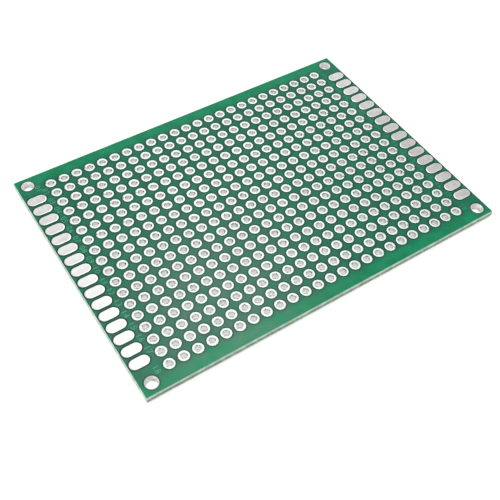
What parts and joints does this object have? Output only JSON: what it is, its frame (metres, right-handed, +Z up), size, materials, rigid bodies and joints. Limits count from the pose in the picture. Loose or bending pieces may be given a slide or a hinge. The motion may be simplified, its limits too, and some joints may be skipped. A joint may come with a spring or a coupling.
{
  "type": "prototype board",
  "caption": "Green glass-epoxy prototype board with a full grid of plated lead holes, long solder pads along both short ends and a screw hole in each corner.",
  "frame": {"origin": "middle of the board, on the plane of the lower pads that it rests on", "axes": "+X along the board towards its right end, +Y across it towards row 01, +Z up out of the upper face"},
  "size_m": [0.07, 0.05, 0.0016],
  "materials": {
    "laminate": "sawn and snapped glass-epoxy",
    "solder_mask": "semi-gloss green film",
    "tinned_metal": "bright hot-tinned copper"
  },
  "bodies": {
    "root": {"laminate_core": "laminate", "top_solder_mask": "solder_mask", "bottom_solder_mask": "solder_mask", "eyelets_row_01": "tinned_metal", "eyelets_row_02": "tinned_metal", "eyelets_row_03": "tinned_metal", "eyelets_row_04": "tinned_metal", "eyelets_row_05": "tinned_metal", "eyelets_row_06": "tinned_metal", "eyelets_row_07": "tinned_metal", "eyelets_row_08": "tinned_metal", "eyelets_row_09": "tinned_metal", "eyelets_row_10": "tinned_metal", "eyelets_row_11": "tinned_metal", "eyelets_row_12": "tinned_metal", "eyelets_row_13": "tinned_metal", "eyelets_row_14": "tinned_metal", "eyelets_row_15": "tinned_metal", "eyelets_row_16": "tinned_metal", "eyelets_row_17": "tinned_metal", "eyelets_row_18": "tinned_metal", "left_edge_pads_top": "tinned_metal", "left_edge_pads_bottom": "tinned_metal", "right_edge_pads_top": "tinned_metal", "right_edge_pads_bottom": "tinned_metal"}
  },
  "joints": []
}
